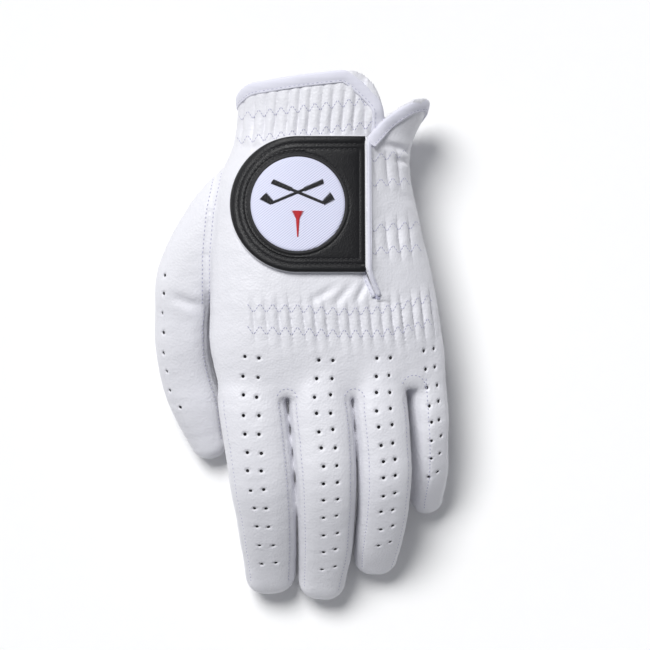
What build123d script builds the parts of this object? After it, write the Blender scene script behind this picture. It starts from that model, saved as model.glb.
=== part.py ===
from build123d import *

import math
import os

# A left-hand golf glove in its worn shape, lying palm down on a flat surface.
# The back of the hand faces +Z, the wrist opening faces +Y and the fingertips point to -Y.
# The thumb is on the -X side. The origin is the middle of the base. Units are millimetres.
#
# It is sewn from thin leather: a back, a palm, two side strips, a thumb gusset, and for each
# finger a sleeve that flexes, a back, a palm and two side strips. Elastic bands lie inside the
# back, a bound slit opens the wrist, and a D-shaped closure tab with a badge folds over the
# slit onto a hook and loop pad.

# ---------------------------------------------------------------- overall sizes
GLOVE_LENGTH = 220.0
GLOVE_WIDTH = 119.0
GLOVE_HEIGHT = 52.0
PATTERN_LENGTH = 220.0
PATTERN_WIDTH = 119.0
PATTERN_HEIGHT = 52.0
STRETCH_X = GLOVE_WIDTH / PATTERN_WIDTH
STRETCH_Y = GLOVE_LENGTH / PATTERN_LENGTH
STRETCH_Z = GLOVE_HEIGHT / PATTERN_HEIGHT

# ---------------------------------------------------------------- leather and trims
LEATHER = 0.8
ELASTIC_THICK = 0.7
BINDING_THICK = 0.5
BINDING_WIDTH = 4.8
SLIT_BINDING_WIDTH = 2.2
SIDE_STRIP = 9.0
FINGER_STRIP = 3.2
CLOSURE_STRIP = 2.5
LAYER_GAP = 0.06
FLEX_GAP = 0.3
WEB_GAP = 0.4
GUSSET_GAP = 0.3

# ---------------------------------------------------------------- closure tab and badge
TAB_RADIUS = 28.0
TAB_CENTRE = (-0.6, 55.0)
TAB_EDGE_X = 27.3
SEWN_GAP = 1.2
SEWN_WIDTH = 5.0
SEWN_THICK = 1.6
SEWN_SHORT = (2.0, 7.0)
FOLD_OVERHANG = 1.0
PAD_INSET = 5.5
PAD_RIGHT_INSET = 5.8
HOOK_MARGIN = 1.0
LOOP_THICK = 0.9
PAD_GAP = 0.35
HOOK_THICK = 0.6
LINING_THICK = 0.5
TAB_LEATHER = 0.8
BADGE_RADIUS = 19.2
BADGE_THICK = 0.6
BORDER_WIDTH = 1.2
BORDER_RISE = 0.4
MOTIF_RISE = 0.4
MOTIF_MARGIN = 2.6

# The motif, as shares of the badge's free radius: the clubs' sizes, place and turn, and the
# right half of the tee's outline, with a cupped head and a point
CLUB_SHAFT = (1.44, 0.1)
CLUB_HEAD = (0.2, 0.28)
CLUB_RISE = 0.24
CLUB_TURN = 18.0
TEE_OUTLINE = [(0.0, -0.76), (0.06, -0.64), (0.08, -0.34), (0.2, -0.24), (0.24, -0.14), (0.0, -0.18)]

# ---------------------------------------------------------------- flexing joints
FINGER_SLEEVE = 16.0
THUMB_SLEEVE = 16.0
THUMB_HINGE_Y = 13.0

# ---------------------------------------------------------------- the hand's outer form
# Each section: (y, left x, right x, low z, high z, roll in degrees towards the little finger)
HAND_SECTIONS = [
    (-24.0, -34.3, 58.6, 20.5, 49.0, 7.0),
    (-5.0, -37.8, 59.0, 18.0, 51.4, 7.0),
    (20.0, -36.8, 56.4, 14.0, 52.0, 7.0),
    (45.0, -36.0, 50.4, 9.0, 51.5, 6.0),
    (65.0, -33.0, 45.8, 5.0, 50.0, 5.0),
    (80.0, -26.8, 45.4, 3.0, 48.5, 4.0),
    (96.0, -25.2, 52.6, 1.8, 48.2, 3.0),
    (112.0, -26.4, 54.0, 0.8, 48.6, 2.0),
]
HAND_SQUARENESS = 2.7
HAND_END = -24.0
LITTLE_CROTCH = -15.0
LITTLE_NOTCH_X = 44.0

# The cuff's edge and the wrist slit, seen from above, as (x, y)
THUMB_SIDE_EDGE = [(-60.0, 96.0), (-26.0, 99.2), (17.6, 110.3), (22.6, 109.6), (26.2, 107.0)]
THUMB_SIDE_SLIT = [(26.2, 81.0), (29.6, 18.0)]
LITTLE_SIDE_SLIT = [(31.4, 18.0), (28.4, 82.0)]
LITTLE_SIDE_EDGE = [(28.4, 82.0), (53.0, 97.0), (75.0, 97.0)]
PALM_EDGE = [(-60.0, 97.0), (-26.0, 99.0), (10.0, 104.0), (24.0, 99.0), (36.0, 88.0), (46.0, 90.0)]
PALM_EDGE += [(53.0, 95.0), (75.0, 97.0)]
SLIT_BINDING_TOP = 76.0
SLIT_END_BAR = (3.8, 3.5)
SLIT_END_GAP = 0.5
CUFF_SPLIT_INSET = 0.1
OUTER_TRIM = (LAYER_GAP, LAYER_GAP + BINDING_THICK)
INNER_TRIM = (-LEATHER - LAYER_GAP - BINDING_THICK, -LEATHER - LAYER_GAP)

# Elastic bands inside the back: name, (x from, x to), (y from, y to)
ELASTIC_BANDS = [
    ("knuckle_elastic", (-18.0, 46.0), (1.5, 15.0)),
    ("cuff_elastic_thumb_side", (-14.0, 22.0), (80.0, 93.0)),
    ("cuff_elastic_little_side", (33.0, 40.0), (62.0, 78.0)),
    ("wrist_elastic_little_side", (34.0, 44.0), (34.0, 48.0)),
]

# ---------------------------------------------------------------- fingers and thumb
# Each station: (x, y, z, half width, half thickness), from inside the hand to the tip's centre
FINGERS = {
    "index_finger": {
        "roll": -3.0,
        "stations": [
            (-20.2, -14.0, 37.0, 13.0, 11.2),
            (-19.6, -26.0, 37.4, 13.2, 11.2),
            (-17.4, -42.4, 37.0, 13.2, 10.8),
            (-15.3, -59.0, 34.3, 13.0, 10.4),
            (-13.7, -73.0, 27.6, 12.0, 9.8),
            (-12.5, -86.0, 18.4, 11.4, 9.4),
            (-11.8, -97.8, 9.6, 10.6, 8.8),
        ],
    },
    "middle_finger": {
        "roll": 3.0,
        "stations": [
            (7.6, -14.0, 37.6, 11.9, 11.2),
            (8.4, -26.0, 38.0, 12.1, 11.2),
            (10.0, -42.4, 38.0, 12.1, 10.8),
            (11.1, -59.0, 36.0, 11.7, 10.3),
            (11.1, -75.0, 27.6, 11.1, 9.7),
            (10.4, -89.0, 17.6, 10.3, 9.2),
            (9.2, -100.6, 9.2, 9.4, 8.4),
        ],
    },
    "ring_finger": {
        "roll": 12.0,
        "stations": [
            (31.9, -14.0, 35.4, 9.8, 10.6),
            (32.6, -26.0, 35.8, 10.1, 10.6),
            (34.8, -42.4, 35.6, 10.1, 10.0),
            (35.3, -59.0, 32.4, 10.0, 9.6),
            (34.2, -72.0, 25.2, 9.6, 9.2),
            (32.4, -83.0, 16.4, 9.0, 8.8),
            (31.2, -90.6, 8.8, 8.2, 8.0),
        ],
    },
    "little_finger": {
        "roll": 30.0,
        "stations": [
            (51.8, -5.0, 29.6, 6.8, 8.4),
            (52.2, -17.6, 29.2, 6.6, 8.0),
            (52.9, -30.0, 28.2, 6.2, 7.7),
            (53.2, -42.4, 25.6, 6.0, 7.4),
            (52.9, -55.0, 18.6, 6.0, 7.1),
            (51.6, -66.0, 8.0, 5.8, 6.7),
        ],
    },
}
THUMB = {
    "roll": 0.0,
    "stations": [
        (-20.0, 68.0, 25.0, 10.0, 11.0),
        (-30.0, 52.0, 26.0, 14.0, 13.0),
        (-39.6, 38.0, 25.5, 13.4, 12.6),
        (-46.4, 24.0, 24.2, 12.4, 11.8),
        (-48.8, 10.0, 22.4, 11.0, 11.0),
        (-49.2, -4.0, 20.0, 10.5, 10.4),
        (-47.0, -17.0, 16.4, 10.2, 9.9),
        (-42.8, -30.0, 12.4, 8.8, 9.2),
        (-38.4, -43.0, 7.8, 6.4, 7.2),
    ],
}
DIGIT_SQUARENESS = 2.3
NEAREST_STATIONS = 1.5
DOME_STEPS = (0.5, 0.82)
DOME_END = 0.97
GUSSET_INNER_X = -30.0
SCRAP_VOLUME = 20.0
LEAST_VOLUME = 0.2
OUTLINE_POINTS = 20
WIDE_ARC = 1.6
WIDE_ARC_POINTS = 17
NARROW_ARC_POINTS = 7
FAR = 200.0


def placed(x, y, z=0.0):
    """A pattern point at the glove's real size."""
    return Vector(x * STRETCH_X, y * STRETCH_Y, z * STRETCH_Z)


def loft_through(wires):
    return Solid.make_loft(wires, ruled=True)


def group(solids):
    """Several solids as one node, or the solid itself."""
    kept = [s for s in solids if s.volume > LEAST_VOLUME]
    return kept[0] if len(kept) == 1 else Compound(children=kept)


def outline_point(frame, angle, grow, squareness):
    """A point of a section's rounded outline, at an angle from its across axis."""
    centre, across, up, half_width, half_height = frame
    c, s = math.cos(angle), math.sin(angle)
    width_part = (abs(c) / (half_width + grow)) ** squareness
    height_part = (abs(s) / (half_height + grow)) ** squareness
    reach = (width_part + height_part) ** (-1 / squareness)
    return centre + across * (reach * c) + up * (reach * s)


def strip_angle(frame, strip, squareness):
    """The angle where a side strip of that width meets the back or the palm."""
    _, _, _, half_width, half_height = frame
    x = half_width - strip
    z = half_height * (1 - (x / half_width) ** squareness) ** (1 / squareness)
    return math.atan2(z, x)


def arc_wire(frame, start, end, low, high, squareness):
    """The closed outline of a wall's stretch, between two distances from the section."""
    count = WIDE_ARC_POINTS if abs(end - start) > WIDE_ARC else NARROW_ARC_POINTS
    angles = [start + (end - start) * i / (count - 1) for i in range(count)]
    outside = [outline_point(frame, a, high, squareness) for a in angles]
    inside = [outline_point(frame, a, low, squareness) for a in reversed(angles)]
    return Wire(
        [
            Edge.make_spline(outside),
            Edge.make_line(outside[-1], inside[0]),
            Edge.make_spline(inside),
            Edge.make_line(inside[-1], outside[0]),
        ]
    )


def full_wire(frame, grow, squareness):
    """A section's whole outline, its points closest where it curves most."""
    points = []
    for i in range(OUTLINE_POINTS):
        turn = 2 * math.pi * i / OUTLINE_POINTS
        angle = math.atan2(frame[4] * math.sin(turn), frame[3] * math.cos(turn))
        points.append(outline_point(frame, angle, grow, squareness))
    return Wire([Edge.make_spline(points, periodic=True)])


def wall(frames, spans, low, high, squareness):
    """A wall's stretch through the sections. spans gives each section's two angles."""
    wires = [
        arc_wire(frame, start, end, low, high, squareness)
        for frame, (start, end) in zip(frames, spans)
    ]
    return loft_through(wires)


def panel_spans(frames, strip, squareness):
    """The angles of the back, the palm and the two side strips, for each section."""
    meets = [strip_angle(frame, strip, squareness) for frame in frames]
    return spans_from(meets, [LAYER_GAP / frame[3] for frame in frames])


def spans_from(meets, gaps):
    """The four panels' angles, from where they meet and the gap that each seam leaves."""
    return {
        "back": [(a + g, math.pi - a - g) for a, g in zip(meets, gaps)],
        "palm": [(math.pi + a + g, 2 * math.pi - a - g) for a, g in zip(meets, gaps)],
        "thumb_side": [(math.pi - a, math.pi + a) for a in meets],
        "little_side": [(-a, a) for a in meets],
    }


def prism(outline, low=-FAR, high=FAR):
    """An outline seen from above, as a tall solid."""
    corners = [placed(x, y) + Vector(0, 0, low) for x, y in outline]
    return Solid.extrude(Face(Wire.make_polygon(corners, close=True)), Vector(0, 0, high - low))


def rectangle(x_range, y_range):
    (x0, x1), (y0, y1) = x_range, y_range
    return prism([(x0, y0), (x1, y0), (x1, y1), (x0, y1)])


# ---------------------------------------------------------------- hand
def hand_frames():
    """Centre, axes and half sizes of each of the hand's sections."""
    frames = []
    for y, left, right, low, high, roll in HAND_SECTIONS:
        angle = math.radians(roll)
        across = Vector(math.cos(angle), 0, -math.sin(angle))
        up = Vector(math.sin(angle), 0, math.cos(angle))
        centre = placed((left + right) / 2, y, (low + high) / 2)
        half_width = (right - left) / 2 * STRETCH_X
        half_height = (high - low) / 2 * STRETCH_Z
        frames.append((centre, across, up, half_width, half_height))
    return frames


def hand_form(grow=0.0):
    """The hand's whole form as one solid, grown by a distance."""
    return loft_through([full_wire(f, grow, HAND_SQUARENESS) for f in hand_frames()])


def hand_wall(panel, low, high, strip=SIDE_STRIP):
    """The wall of one panel of the hand, between two distances from its outer face."""
    frames = hand_frames()
    spans = panel_spans(frames, strip, HAND_SQUARENESS)[panel]
    return wall(frames, spans, low, high, HAND_SQUARENESS)


def back_outline(drop=0.0):
    """What the back keeps, seen from above: the thumb side, then the little-finger side."""
    thumb = [(x, y - drop) for x, y in THUMB_SIDE_EDGE]
    little = [(x, y - drop) for x, y in LITTLE_SIDE_EDGE]
    thumb_side = [(-60.0, -60.0)] + thumb + THUMB_SIDE_SLIT
    return thumb_side + LITTLE_SIDE_SLIT[:1] + little + [(75.0, -60.0)]


def palm_outline(drop=0.0):
    return [(-60.0, -60.0)] + [(x, y - drop) for x, y in PALM_EDGE] + [(75.0, -60.0)]


def little_notch():
    """The space where the little finger starts nearer the wrist than the others."""
    return rectangle((LITTLE_NOTCH_X, FAR), (-FAR, LITTLE_CROTCH))


def slit_x(line, y):
    """Where one of the slit's edges crosses a pattern y."""
    (x0, y0), (x1, y1) = line
    return x0 + (x1 - x0) * (y - y0) / (y1 - y0)


def web_outline():
    """A plate across the finger roots, stepped at the little finger."""
    y0, y1 = HAND_END, HAND_END + LEATHER / STRETCH_Y
    x0 = LITTLE_NOTCH_X - LEATHER / STRETCH_X
    y2, y3 = LITTLE_CROTCH, LITTLE_CROTCH + LEATHER / STRETCH_Y
    step = [(LITTLE_NOTCH_X, y0), (LITTLE_NOTCH_X, y2), (FAR, y2), (FAR, y3), (x0, y3), (x0, y1)]
    return [(-FAR, y1), (-FAR, y0)] + step


def hand_nodes(nodes):
    """The hand's leather panels, its finger webs, its bindings and its elastic bands."""
    notch = little_notch()
    thumb_hole = digit_form(THUMB, -LEATHER, THUMB["stations"][0][1], THUMB_HINGE_Y)
    back_keep, palm_keep = prism(back_outline()), prism(palm_outline())

    nodes["back_panel"] = group((hand_wall("back", -LEATHER, 0.0) - notch & back_keep).solids())
    palm = hand_wall("palm", -LEATHER, 0.0) - notch - thumb_hole
    nodes["palm_panel"] = group((palm & palm_keep).solids())
    thumb_strip = hand_wall("thumb_side", -LEATHER, 0.0) - thumb_hole
    nodes["thumb_side_strip"] = group((thumb_strip & palm_keep).solids())
    little_strip = hand_wall("little_side", -LEATHER, 0.0) - notch
    nodes["little_side_strip"] = group((little_strip & palm_keep).solids())

    webs = hand_form(-LEATHER - WEB_GAP) & prism(web_outline())
    for name, digit in FINGERS.items():
        first, last = digit["stations"][0][1], digit["stations"][2][1]
        webs = webs - digit_form(digit, -LEATHER, first, last)
    nodes["finger_webs"] = group(webs.solids())

    tape = BINDING_WIDTH / STRETCH_Y
    thumb_x, little_x = THUMB_SIDE_SLIT[0][0], LITTLE_SIDE_SLIT[1][0]
    split = rectangle((thumb_x + CUFF_SPLIT_INSET, little_x - CUFF_SPLIT_INSET), (-FAR, FAR))
    back_band = back_keep - prism(back_outline(tape)) - split
    above_slit = rectangle((-FAR, FAR), (THUMB_SIDE_SLIT[0][1] - tape, FAR))
    palm_band = palm_keep - prism(palm_outline(tape))
    bound = []
    for panel, band in [
        ("back", back_band & above_slit), ("palm", palm_band),
        ("thumb_side", palm_band), ("little_side", palm_band),
    ]:
        bound += (hand_wall(panel, *OUTER_TRIM) & band).solids()
        bound += (hand_wall(panel, *INNER_TRIM) & band).solids()
    nodes["cuff_binding"] = group(bound)

    narrow = SLIT_BINDING_WIDTH / STRETCH_X
    top = SLIT_BINDING_TOP
    thumb_line = [(slit_x(THUMB_SIDE_SLIT, top), top), THUMB_SIDE_SLIT[1]]
    little_line = [LITTLE_SIDE_SLIT[0], (slit_x(LITTLE_SIDE_SLIT, top), top)]
    strips = [
        prism(thumb_line + [(x - narrow, y) for x, y in reversed(thumb_line)]),
        prism(little_line + [(x + narrow, y) for x, y in reversed(little_line)]),
    ]
    inside = hand_wall("back", *INNER_TRIM)
    nodes["slit_binding"] = group([s for strip in strips for s in (inside & strip).solids()])
    (left, low), (right, _) = THUMB_SIDE_SLIT[1], LITTLE_SIDE_SLIT[0]
    middle, bar_top = (left + right) / 2, low - SLIT_END_GAP
    half, tall = SLIT_END_BAR[0] / 2 / STRETCH_X, SLIT_END_BAR[1] / STRETCH_Y
    end = rectangle((middle - half, middle + half), (bar_top - tall, bar_top))
    nodes["slit_end_bar"] = group((hand_wall("back", *OUTER_TRIM) & end).solids())

    elastic_top = -LEATHER - LAYER_GAP
    lining = hand_wall("back", elastic_top - ELASTIC_THICK, elastic_top)
    for name, x_range, y_range in ELASTIC_BANDS:
        nodes[name] = group((lining & rectangle(x_range, y_range)).solids())


# ---------------------------------------------------------------- fingers and thumb
def station_at(digit, y):
    """The digit's centre and half sizes where it crosses a pattern y."""
    stations = digit["stations"]
    for near, far in zip(stations, stations[1:]):
        if far[1] <= y <= near[1]:
            share = (y - near[1]) / (far[1] - near[1])
            return [a + (b - a) * share for a, b in zip(near, far)]
    return list(stations[0] if y > stations[0][1] else stations[-1])


def digit_frame(digit, y, square=False):
    """A section's frame across a digit at a pattern y. A square one is cut across the hand."""
    ahead = station_at(digit, max(y - 4.0, digit["stations"][-1][1]))
    behind = station_at(digit, min(y + 4.0, digit["stations"][0][1]))
    along = (placed(*ahead[:3]) - placed(*behind[:3])).normalized()
    if square:
        along = Vector(0, -1, 0)
    level = Vector(-along.Y, along.X, 0).normalized()
    over = level.cross(along).normalized()
    if over.Z < 0:
        over = over * -1
    roll = math.radians(digit["roll"])
    across = level * math.cos(roll) - over * math.sin(roll)
    up = over * math.cos(roll) + level * math.sin(roll)
    x, y, z, half_width, half_thick = station_at(digit, y)
    frame = (placed(x, y, z), across, up, half_width * STRETCH_X, half_thick * STRETCH_Z)
    return frame, along


def digit_sections(digit, start, end, square_start=False):
    """Section frames from one pattern y to another, with the stations between them."""
    inner = [s[1] for s in digit["stations"] if end + NEAREST_STATIONS < s[1] < start - NEAREST_STATIONS]
    frames = [digit_frame(digit, start, square_start)[0]]
    return frames + [digit_frame(digit, y)[0] for y in inner + [end]]


def digit_form(digit, grow, start, end):
    """A solid stretch of a digit."""
    frames = digit_sections(digit, start, end)
    return loft_through([full_wire(f, grow, DIGIT_SQUARENESS) for f in frames])


def domed(digit):
    """The rounded sections past the last station, and the dome's closing section."""
    (centre, across, up, width, thick), along = digit_frame(digit, digit["stations"][-1][1])
    sections = []
    for step in DOME_STEPS + (DOME_END,):
        size = math.sqrt(1 - step * step)
        place = centre + along * (step * thick)
        sections.append((place, across, up, width * size, thick * size))
    return sections


def digit_root(name):
    return LITTLE_CROTCH if name == "little_finger" else HAND_END


def ring_halves(frames):
    """A tube's wall in two halves, upper and lower."""
    upper, lower = [(0.0, math.pi)] * len(frames), [(math.pi, 2 * math.pi)] * len(frames)
    return [wall(frames, span, -LEATHER, 0.0, DIGIT_SQUARENESS) for span in (upper, lower)]


def digit_nodes(nodes, name, digit, root, sleeve, square):
    """One digit: a sleeve that flexes, then a back, a palm and two side strips."""
    flex_end = root - sleeve / STRETCH_Y
    seam = 2 * LAYER_GAP / STRETCH_Y
    sleeve_frames = digit_sections(digit, root - seam, flex_end, square)
    nodes[name + "_sleeve"] = group(ring_halves(sleeve_frames))
    tip = digit["stations"][-1][1]
    *dome, closing = domed(digit)
    straight = digit_sections(digit, flex_end - FLEX_GAP / STRETCH_Y, tip)
    meets = [strip_angle(frame, FINGER_STRIP, DIGIT_SQUARENESS) for frame in straight]
    meets += [meets[-1]] * len(dome)
    frames = straight + dome
    for panel, angles in spans_from(meets, [LAYER_GAP / frame[3] for frame in frames]).items():
        pieces = [wall(frames, angles, -LEATHER, 0.0, DIGIT_SQUARENESS)]
        if panel == "back":
            ends = [full_wire(f, 0.0, DIGIT_SQUARENESS) for f in (dome[-1], closing)]
            pieces.append(loft_through(ends))
        suffix = panel if panel in ("back", "palm") else panel + "_strip"
        nodes[f"{name}_{suffix}"] = group(pieces)


def thumb_nodes(nodes):
    """The thumb: a gusset at the hand, a sleeve that flexes and its own panels."""
    root = THUMB_HINGE_Y + THUMB_SLEEVE / 2 / STRETCH_Y
    digit_nodes(nodes, "thumb", THUMB, root, THUMB_SLEEVE, False)
    hand = hand_form(GUSSET_GAP)
    gusset_end = root + 2 * LAYER_GAP / STRETCH_Y
    gusset = ring_halves(digit_sections(THUMB, THUMB["stations"][0][1], gusset_end))
    outside = [s for half in gusset for s in (half - hand).solids() if s.volume > SCRAP_VOLUME]
    inner_x = GUSSET_INNER_X * STRETCH_X
    nodes["thumb_gusset"] = group([s for s in outside if s.center().X < inner_x])
    sleeve = [s - hand for s in nodes["thumb_sleeve"].solids()]
    nodes["thumb_sleeve"] = group([part for s in sleeve for part in s.solids()])


def hinge_of(name):
    """A finger's hinge point and axis. Positive turns curl it towards the palm."""
    digit = FINGERS[name]
    x, y, z, _, _ = station_at(digit, digit_root(name) - FINGER_SLEEVE / 2 / STRETCH_Y)
    near, far = digit["stations"][1], digit["stations"][-1]
    along = (placed(far[0], far[1]) - placed(near[0], near[1])).normalized()
    return placed(x, y, z), Vector(-along.Y, along.X, 0)


def thumb_hinge():
    """The thumb's upright hinge. Positive turns swing it out from the fingers."""
    x, y, z, _, _ = station_at(THUMB, THUMB_HINGE_Y)
    return placed(x, y, z), Vector(0, 0, -1)


# ---------------------------------------------------------------- closure
def closure_layers():
    """How far each of the closure's layers lies from the back: its lower and upper faces."""
    loop = (LAYER_GAP, LAYER_GAP + LOOP_THICK)
    layers = {"loop": loop}
    low = loop[1] + PAD_GAP
    for layer, thickness in [
        ("hook", HOOK_THICK), ("lining", LINING_THICK), ("leather", TAB_LEATHER),
        ("badge", BADGE_THICK), ("motif", MOTIF_RISE),
    ]:
        layers[layer] = (low, low + thickness)
        low += thickness + LAYER_GAP
    return layers


def tab_prism(inset, right_x):
    """The D outline, a half round towards the thumb and straight at right_x."""
    centre = placed(*TAB_CENTRE) + Vector(0, 0, -FAR)
    radius = TAB_RADIUS - inset
    top, bottom = centre + Vector(0, radius, 0), centre - Vector(0, radius, 0)
    far = right_x * STRETCH_X
    edges = [
        Edge.make_three_point_arc(top, centre - Vector(radius, 0, 0), bottom),
        Edge.make_line(bottom, Vector(far, bottom.Y, -FAR)),
        Edge.make_line(Vector(far, bottom.Y, -FAR), Vector(far, top.Y, -FAR)),
        Edge.make_line(Vector(far, top.Y, -FAR), top),
    ]
    return Solid.extrude(Face(Wire(edges)), Vector(0, 0, 2 * FAR))


def badge_prism(radius):
    centre = placed(*TAB_CENTRE)
    return Solid.make_cylinder(radius, 2 * FAR, Plane((centre.X, centre.Y, -FAR)))


def back_height(frame, x):
    """How high one of the hand's sections is at x."""
    centre, across, _, width, height = frame
    share = 1 - abs((x - centre.X) / width) ** HAND_SQUARENESS
    slope = math.tan(math.acos(across.X))
    return centre.Z + height * share ** (1 / HAND_SQUARENESS) - (x - centre.X) * slope


def ridge_height(x, y):
    """How high the back is between its sections."""
    frames = hand_frames()
    lower, upper = next(pair for pair in zip(frames, frames[1:]) if pair[1][0].Y >= y)
    share = (y - lower[0].Y) / (upper[0].Y - lower[0].Y)
    return back_height(lower, x) * (1 - share) + back_height(upper, x) * share


def tab_hinge():
    """The closure's hinge along its sewn straight edge, over the highest of its leather."""
    x, y = TAB_EDGE_X * STRETCH_X, TAB_CENTRE[1] * STRETCH_Y
    first, last = ridge_height(x, y - TAB_RADIUS), ridge_height(x, y + TAB_RADIUS)
    slope = (last - first) / (2 * TAB_RADIUS)
    between = [f[0].Y for f in hand_frames() if abs(f[0].Y - y) < TAB_RADIUS]
    rises = [ridge_height(x, at) - slope * (at - y) for at in between + [y - TAB_RADIUS]]
    z = max(rises) + closure_layers()["leather"][1] + LAYER_GAP
    return Vector(x, y, z), Vector(0, 1, slope).normalized()


def motif_prisms():
    """The badge's motif: two crossed golf clubs, and a tee below them."""
    centre = placed(*TAB_CENTRE)
    reach = BADGE_RADIUS - MOTIF_MARGIN

    def bar(x, y, width, height):
        plane = Plane((x * reach, y * reach, -FAR))
        return Solid.make_box(width * reach, height * reach, 2 * FAR, plane)

    length, thick = CLUB_SHAFT
    head = bar(-length / 2 - CLUB_HEAD[0] / 2, -thick / 2, *CLUB_HEAD)
    club = bar(-length / 2, -thick / 2, length, thick) + head
    clubs = club.rotate(Axis.Z, CLUB_TURN) + club.mirror(Plane.YZ).rotate(Axis.Z, -CLUB_TURN)
    right = [Vector(x * reach, y * reach, -FAR) for x, y in TEE_OUTLINE]
    left = [Vector(-v.X, v.Y, v.Z) for v in reversed(right[1:-1])]
    outline = Face(Wire.make_polygon(right + left, close=True))
    tee = Solid.extrude(outline, Vector(0, 0, 2 * FAR))
    middle = Vector(centre.X, centre.Y, 0)
    return clubs.translate(middle + Vector(0, CLUB_RISE * reach, 0)), tee.translate(middle)


def closure_nodes(nodes):
    """The loop pad and sewn edge on the back, and the tab with its hook pad and badge."""
    layers = closure_layers()

    def layer(low, high, outline):
        return group((hand_wall("back", low, high, CLOSURE_STRIP) & outline).solids())

    whole = tab_prism(0.0, TAB_EDGE_X)
    sewn_from = TAB_EDGE_X + SEWN_GAP
    sewn_ends = (
        TAB_CENTRE[1] - (TAB_RADIUS - SEWN_SHORT[0]) / STRETCH_Y,
        TAB_CENTRE[1] + (TAB_RADIUS - SEWN_SHORT[1]) / STRETCH_Y,
    )
    sewn = rectangle((sewn_from, sewn_from + SEWN_WIDTH), sewn_ends)
    fold = rectangle((sewn_from, sewn_from + SEWN_WIDTH + FOLD_OVERHANG), sewn_ends)
    sewn_top = LAYER_GAP + SEWN_THICK
    nodes["tab_sewn_edge"] = layer(LAYER_GAP, sewn_top, sewn)
    nodes["tab_edge_fold"] = layer(sewn_top + LAYER_GAP, sewn_top + LAYER_GAP + LEATHER, fold)
    pad_right = TAB_EDGE_X - PAD_RIGHT_INSET
    hook_outline = tab_prism(PAD_INSET + HOOK_MARGIN, pad_right + HOOK_MARGIN)
    nodes["loop_pad"] = layer(*layers["loop"], tab_prism(PAD_INSET, pad_right))
    nodes["tab_hook_pad"] = layer(*layers["hook"], hook_outline)
    nodes["tab_lining"] = layer(*layers["lining"], whole)
    nodes["tab_leather"] = layer(*layers["leather"], whole)
    badge_low, badge_high = layers["badge"]
    nodes["badge_disc"] = layer(badge_low, badge_high, badge_prism(BADGE_RADIUS))
    inner_edge = BADGE_RADIUS + LAYER_GAP
    border = badge_prism(inner_edge + BORDER_WIDTH) - badge_prism(inner_edge)
    nodes["badge_border"] = layer(badge_low, badge_high + BORDER_RISE, border)
    clubs, tee = motif_prisms()
    nodes["badge_clubs"] = layer(*layers["motif"], clubs)
    nodes["badge_tee"] = layer(*layers["motif"], tee)


def build():
    """Every node, moved so that the origin is the middle of the glove's base."""
    nodes = {}
    hand_nodes(nodes)
    for name, digit in FINGERS.items():
        digit_nodes(nodes, name, digit, digit_root(name), FINGER_SLEEVE, True)
    thumb_nodes(nodes)
    closure_nodes(nodes)
    boxes = [shape.bounding_box() for shape in nodes.values()]
    low_x, high_x = min(b.min.X for b in boxes), max(b.max.X for b in boxes)
    low_y, high_y = min(b.min.Y for b in boxes), max(b.max.Y for b in boxes)
    low_z = min(b.min.Z for b in boxes)
    home = Vector(-(low_x + high_x) / 2, -(low_y + high_y) / 2, -low_z)
    return {name: shape.translate(home) for name, shape in nodes.items()}, home


NODES, HOME = build()
os.makedirs("parts", exist_ok=True)
for node_name, node_shape in NODES.items():
    export_step(node_shape, f"parts/{node_name}.step")
for hinge_name, (point, axis) in (
    [(name, hinge_of(name)) for name in FINGERS]
    + [("thumb", thumb_hinge()), ("tab", tab_hinge())]
):
    place = point + HOME
    print(hinge_name, [round(v, 3) for v in place], [round(v, 5) for v in axis])
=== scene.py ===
import math

import bmesh
import bpy
import numpy as np
from mathutils import Matrix, Vector
from mathutils.bvhtree import BVHTree
from mathutils.kdtree import KDTree


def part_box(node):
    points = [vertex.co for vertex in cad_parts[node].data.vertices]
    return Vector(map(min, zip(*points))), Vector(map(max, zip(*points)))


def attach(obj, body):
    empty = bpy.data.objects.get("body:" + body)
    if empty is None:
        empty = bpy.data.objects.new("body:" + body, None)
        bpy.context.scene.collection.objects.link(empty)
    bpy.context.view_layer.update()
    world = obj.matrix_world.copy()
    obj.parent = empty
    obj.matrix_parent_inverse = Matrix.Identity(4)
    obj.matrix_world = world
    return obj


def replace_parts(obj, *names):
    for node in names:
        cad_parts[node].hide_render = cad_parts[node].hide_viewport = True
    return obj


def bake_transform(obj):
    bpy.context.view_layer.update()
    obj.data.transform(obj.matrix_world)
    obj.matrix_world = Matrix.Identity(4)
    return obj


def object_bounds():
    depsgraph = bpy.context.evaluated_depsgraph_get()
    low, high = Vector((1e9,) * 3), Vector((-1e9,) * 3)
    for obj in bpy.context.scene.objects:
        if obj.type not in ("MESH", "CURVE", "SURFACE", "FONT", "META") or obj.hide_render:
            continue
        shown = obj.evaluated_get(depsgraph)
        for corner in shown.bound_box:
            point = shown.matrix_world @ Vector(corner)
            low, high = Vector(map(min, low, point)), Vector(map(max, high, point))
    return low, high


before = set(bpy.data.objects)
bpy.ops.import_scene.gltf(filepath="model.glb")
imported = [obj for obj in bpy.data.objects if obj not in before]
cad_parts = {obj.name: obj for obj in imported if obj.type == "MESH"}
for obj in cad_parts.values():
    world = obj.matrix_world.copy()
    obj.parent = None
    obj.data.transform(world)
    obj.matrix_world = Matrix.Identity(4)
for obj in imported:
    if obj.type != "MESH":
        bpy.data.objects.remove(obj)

# A white leather golf glove for the left hand, palm down. Numbers here are millimetres on the
# sewing pattern's frame; put() turns them into the shared frame's metres.
CAD_BOX = [list(corner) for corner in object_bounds()]
MM = 0.001
HOME = Vector((-0.04, -0.64, -0.73))
VOXEL = 0.95
LEATHER_THICK = 0.7
ABOVE = 90.0  # higher than any part of the glove
BACK_FROM = 25.0  # what is higher than this belongs to the back
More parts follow.
